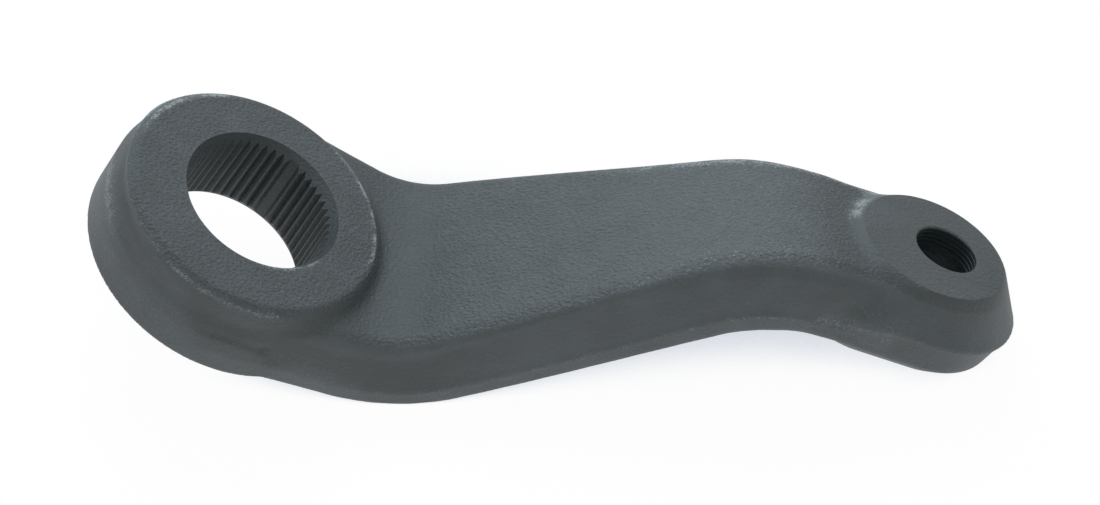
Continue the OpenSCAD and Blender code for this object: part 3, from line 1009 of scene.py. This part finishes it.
# Finish: linear colours, sizes in metres, and the shares of its layers
STEEL_DARK = (0.046, 0.0565, 0.060, 1)
STEEL_LIGHT = (0.081, 0.096, 0.104, 1)
BARE_METAL_AND_HIGHLIGHT = (0.25, 0.28, 0.295, 1)
HOLE_PAINTED_SHADE = (0.0005, 0.009, 0.011, 1)
STEEL_RAMP = (0.3, 0.7)
ROUGHNESS = 0.6
GRAIN_DRAW = (0.8, 1, 1)
PEBBLE_SIZE = 0.00065
CLOUD_SIZE = 0.007
PATCH_SIZE = 0.003
SPECK_SIZE = 0.0004
PEBBLE_SHARE = 0.6
CLOUD_SHARE = 0.4
TONE_SHARE = 0.7
TONE_DROP = 0.05
PATCH_FLOOR = 0.3
PATCH_GAIN = 5
PATCH_SHARE = 1.1
SPECK_FLOOR = 0.63
SPECK_SPREAD = 0.34
SPECK_GAIN = 7
SPECK_WEAR = 0.55
SPECK_GRAIN = 0.5
PAINTED_SHEEN_SHARE = 0.3
BUMP_SHARE = 0.9
BUMP_HEIGHT = 0.001


def shader(name):
    material = bpy.data.materials.new(name)
    material.use_nodes = True
    nodes = material.node_tree.nodes
    return material, nodes, material.node_tree.links, nodes["Principled BSDF"]


def set_ramp(node, positions, colours):
    for stop, position, colour in zip(node.color_ramp.elements, positions, colours):
        stop.position = position
        stop.color = colour


def forged_steel():
    material, nodes, links, bsdf = shader("forged_steel")
    bsdf.inputs["Roughness"].default_value = ROUGHNESS
    place = nodes.new("ShaderNodeTexCoord")
    # The grain is drawn out along the arm
    drawn = nodes.new("ShaderNodeMapping")
    drawn.inputs["Scale"].default_value = GRAIN_DRAW
    links.new(place.outputs["Object"], drawn.inputs["Vector"])

    def noise(size, detail):
        node = nodes.new("ShaderNodeTexNoise")
        node.inputs["Scale"].default_value = 1 / size
        node.inputs["Detail"].default_value = detail
        links.new(drawn.outputs["Vector"], node.inputs["Vector"])
        return node.outputs["Fac"]

    def mark(name):
        node = nodes.new("ShaderNodeAttribute")
        node.attribute_name = name
        return node.outputs["Fac"]

    def calc(operation, a, b, clamp=False):
        node = nodes.new("ShaderNodeMath")
        node.operation = operation
        node.use_clamp = clamp
        for socket, value in zip(node.inputs, (a, b)):
            if isinstance(value, (int, float)):
                socket.default_value = value
            else:
                links.new(value, socket)
        return node.outputs[0]

    def mixed(share, a, b):
        node = nodes.new("ShaderNodeMix")
        node.data_type = "RGBA"
        links.new(share, node.inputs["Factor"])
        links.new(a, node.inputs[6])
        node.inputs[7].default_value = b
        return node.outputs[2]

    pebble = noise(PEBBLE_SIZE, 3)
    grain, wear_and_highlight = mark("grain"), mark("wear_and_highlight")
    grit = calc("MULTIPLY", calc("MULTIPLY", calc("SUBTRACT", pebble, 0.5), grain), PEBBLE_SHARE)
    cloudy = calc("ADD", grit, calc("MULTIPLY", noise(CLOUD_SIZE, 4), CLOUD_SHARE))
    tone_and_painted_shading = calc("ADD", calc("SUBTRACT", cloudy, TONE_DROP), calc("MULTIPLY", mark("tone_and_painted_shading"), TONE_SHARE))
    ramp = nodes.new("ShaderNodeValToRGB")
    set_ramp(ramp, STEEL_RAMP, (STEEL_DARK, STEEL_LIGHT))
    links.new(tone_and_painted_shading, ramp.inputs["Fac"])
    # Scuffs and painted highlights: specks of lighter metal in patches, dense where the wear and highlight
    # marks are strong, over a painted sheen that is a smooth painted highlight
    patchy = calc("MULTIPLY", calc("SUBTRACT", noise(PATCH_SIZE, 2), PATCH_FLOOR), PATCH_GAIN, True)
    worn_and_highlit = calc("MULTIPLY", wear_and_highlight, calc("MULTIPLY", patchy, PATCH_SHARE))
    rare = calc("SUBTRACT", SPECK_FLOOR, calc("MULTIPLY", worn_and_highlit, SPECK_SPREAD))
    speck = calc("MULTIPLY", calc("SUBTRACT", noise(SPECK_SIZE, 3), rare), SPECK_GAIN, True)
    strength = calc("ADD", calc("MULTIPLY", worn_and_highlit, SPECK_WEAR), calc("MULTIPLY", grain, SPECK_GRAIN))
    # Painted sheen: a smooth painted highlight where the wear and highlight marks are strongest
    painted_sheen = calc("MULTIPLY", calc("MULTIPLY", wear_and_highlight, wear_and_highlight), PAINTED_SHEEN_SHARE)
    share = calc("ADD", calc("MULTIPLY", speck, strength), painted_sheen, True)
    scuffed_and_highlit = mixed(share, ramp.outputs["Color"], BARE_METAL_AND_HIGHLIGHT)
    # Painted shade in the holes darkens the colour towards near black
    links.new(mixed(mark("hole"), scuffed_and_highlit, HOLE_PAINTED_SHADE), bsdf.inputs["Base Color"])
    bump = nodes.new("ShaderNodeBump")
    bump.inputs["Distance"].default_value = BUMP_HEIGHT
    links.new(calc("MULTIPLY", grain, BUMP_SHARE), bump.inputs["Strength"])
    links.new(pebble, bump.inputs["Height"])
    links.new(bump.outputs["Normal"], bsdf.inputs["Normal"])
    return material


arm.data.materials.clear()
arm.data.materials.append(forged_steel())
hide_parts("pitman_arm")
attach(arm, "root")

# Camera: the photograph's view, as its axes in the forging frame and where the bore's mouth falls
IMAGE = (1100, 505)
VIEW_RIGHT = (0.88438, 0.0568, 0.4633)
VIEW_UP = (-0.35003, 0.73733, 0.57777)
DISTANCE = 900.0
PIXELS_PER_MM = 4.6355
BORE_PIXEL = (262.18, 199.27)
SENSOR = 36.0
CLIP_START = 0.01


def camera():
    right = np.array(VIEW_RIGHT) / np.linalg.norm(VIEW_RIGHT)
    up = np.array(VIEW_UP) - right * (right @ VIEW_UP)
    up /= np.linalg.norm(up)
    turn = LAY @ np.column_stack([right, up, np.cross(right, up)])
    side = (BORE_PIXEL[0] - IMAGE[0] / 2) / PIXELS_PER_MM
    rise_up = -(BORE_PIXEL[1] - IMAGE[1] / 2) / PIXELS_PER_MM
    data = bpy.data.cameras.new("camera")
    data.sensor_width = SENSOR
    data.lens = PIXELS_PER_MM * DISTANCE / IMAGE[0] * SENSOR
    data.clip_start = CLIP_START
    obj = bpy.data.objects.new("camera", data)
    bpy.context.scene.collection.objects.link(obj)
    place = turn @ np.array([-side, -rise_up, DISTANCE]) / MM_PER_M
    obj.matrix_world = Matrix.Translation(Vector(place)) @ Matrix(turn.tolist()).to_4x4()
    bpy.context.scene.camera = obj


camera()

# Table, in metres: it glows a little, with a faint bluish painted contact shadow towards the viewer, drawn
# from how close the arm is
FLOOR_SIZE = 6.0
FLOOR_COLOUR = (0.9, 0.9, 0.9, 1)
GLOW_SHARE = (0.9, 0.97)
SHADE_REACH = 0.05
SHADE_LEAN = (0, -0.7, 0.7)
SHADE_RAMP = (0.42, 0.68)
SHADE_COLOUR = (0.62, 0.66, 0.74, 1)
WHITE = (1, 1, 1, 1)
# It stays white, without the painted shadow, where it is seen through the bore: middle of that place, and
# from where to where it fades
BORE_FLOOR = (-0.009, 0.024)
BORE_FLOOR_FADE = (0.01, 0.045)
# Lamp and room
LAMP_AT = (-0.1, 0.6, 0.75)
LAMP_AIM = (0.06, 0, -0.02)
LAMP_SIZE = 0.5
LAMP_WATTS = 5.2
LAMP_COLOUR = (0.88, 1.0, 1.08)
ROOM_STRENGTH = 0.8
ROOM_BRIGHT_SIDE = (0, 0.55, 0.75)
ROOM_FADE = (-0.5, 0.4)
ROOM_DIM = (0.45, 0.45, 0.43, 1)


def floor():
    low = float(cad_box[0][2])
    half = FLOOR_SIZE / 2
    corners = [(-half, -half, low), (half, -half, low), (half, half, low), (-half, half, low)]
    obj = mesh_object("floor", corners, [(0, 1, 2, 3)])
    material, nodes, links, bsdf = shader("floor")
    bsdf.inputs["Base Color"].default_value = FLOOR_COLOUR
    bsdf.inputs["Roughness"].default_value = 1
    # Painted contact shadow: closeness of the arm, leaned towards the viewer, tints the floor's glow
    shade = nodes.new("ShaderNodeAmbientOcclusion")
    shade.inputs["Distance"].default_value = SHADE_REACH
    lean = nodes.new("ShaderNodeCombineXYZ")
    for axis, value in zip("XYZ", SHADE_LEAN):
        lean.inputs[axis].default_value = value
    links.new(lean.outputs["Vector"], shade.inputs["Normal"])
    place = nodes.new("ShaderNodeTexCoord")
    away = nodes.new("ShaderNodeVectorMath")
    away.operation = "DISTANCE"
    away.inputs[1].default_value = (*BORE_FLOOR, low)
    links.new(place.outputs["Object"], away.inputs[0])
    lit = nodes.new("ShaderNodeMapRange")
    lit.inputs["From Min"].default_value = BORE_FLOOR_FADE[0]
    lit.inputs["From Max"].default_value = BORE_FLOOR_FADE[1]
    lit.inputs["To Min"].default_value = 1
    lit.inputs["To Max"].default_value = 0
    links.new(away.outputs["Value"], lit.inputs["Value"])
    unshadowed = nodes.new("ShaderNodeMath")
    unshadowed.operation = "MAXIMUM"
    links.new(shade.outputs["AO"], unshadowed.inputs[0])
    links.new(lit.outputs["Result"], unshadowed.inputs[1])
    tint = nodes.new("ShaderNodeValToRGB")
    tint.color_ramp.interpolation = "EASE"
    set_ramp(tint, SHADE_RAMP, (SHADE_COLOUR, WHITE))
    links.new(unshadowed.outputs[0], tint.inputs["Fac"])
    glow = nodes.new("ShaderNodeEmission")
    glow.inputs["Strength"].default_value = 1
    links.new(tint.outputs["Color"], glow.inputs["Color"])
    path = nodes.new("ShaderNodeLightPath")
    share = nodes.new("ShaderNodeMapRange")
    share.inputs["To Min"].default_value = GLOW_SHARE[0]
    share.inputs["To Max"].default_value = GLOW_SHARE[1]
    links.new(path.outputs["Is Camera Ray"], share.inputs["Value"])
    both = nodes.new("ShaderNodeMixShader")
    links.new(share.outputs["Result"], both.inputs["Fac"])
    links.new(bsdf.outputs["BSDF"], both.inputs[1])
    links.new(glow.outputs["Emission"], both.inputs[2])
    links.new(both.outputs["Shader"], nodes["Material Output"].inputs["Surface"])
    obj.data.materials.append(material)


def lamp():
    data = bpy.data.lights.new("overhead", "AREA")
    data.shape = "DISK"
    data.size = LAMP_SIZE
    data.energy = LAMP_WATTS
    data.color = LAMP_COLOUR
    obj = bpy.data.objects.new("overhead", data)
    bpy.context.scene.collection.objects.link(obj)
    obj.location = LAMP_AT
    obj.rotation_euler = (Vector(LAMP_AIM) - Vector(LAMP_AT)).to_track_quat("-Z", "Y").to_euler()


def world():
    """White room that is darker on the side the picture is taken from."""
    room = bpy.data.worlds.new("studio")
    bpy.context.scene.world = room
    room.use_nodes = True
    nodes, links = room.node_tree.nodes, room.node_tree.links
    background = nodes["Background"]
    background.inputs["Strength"].default_value = ROOM_STRENGTH
    way = nodes.new("ShaderNodeTexCoord")
    facing = nodes.new("ShaderNodeVectorMath")
    facing.operation = "DOT_PRODUCT"
    facing.inputs[1].default_value = ROOM_BRIGHT_SIDE
    links.new(way.outputs["Generated"], facing.inputs[0])
    fade = nodes.new("ShaderNodeMapRange")
    fade.inputs["From Min"].default_value = ROOM_FADE[0]
    fade.inputs["From Max"].default_value = ROOM_FADE[1]
    links.new(facing.outputs["Value"], fade.inputs["Value"])
    tint = nodes.new("ShaderNodeValToRGB")
    set_ramp(tint, (0, 1), (ROOM_DIM, WHITE))
    links.new(fade.outputs["Result"], tint.inputs["Fac"])
    links.new(tint.outputs["Color"], background.inputs["Color"])


floor()
lamp()
world()
bpy.context.scene.view_settings.view_transform = "Standard"
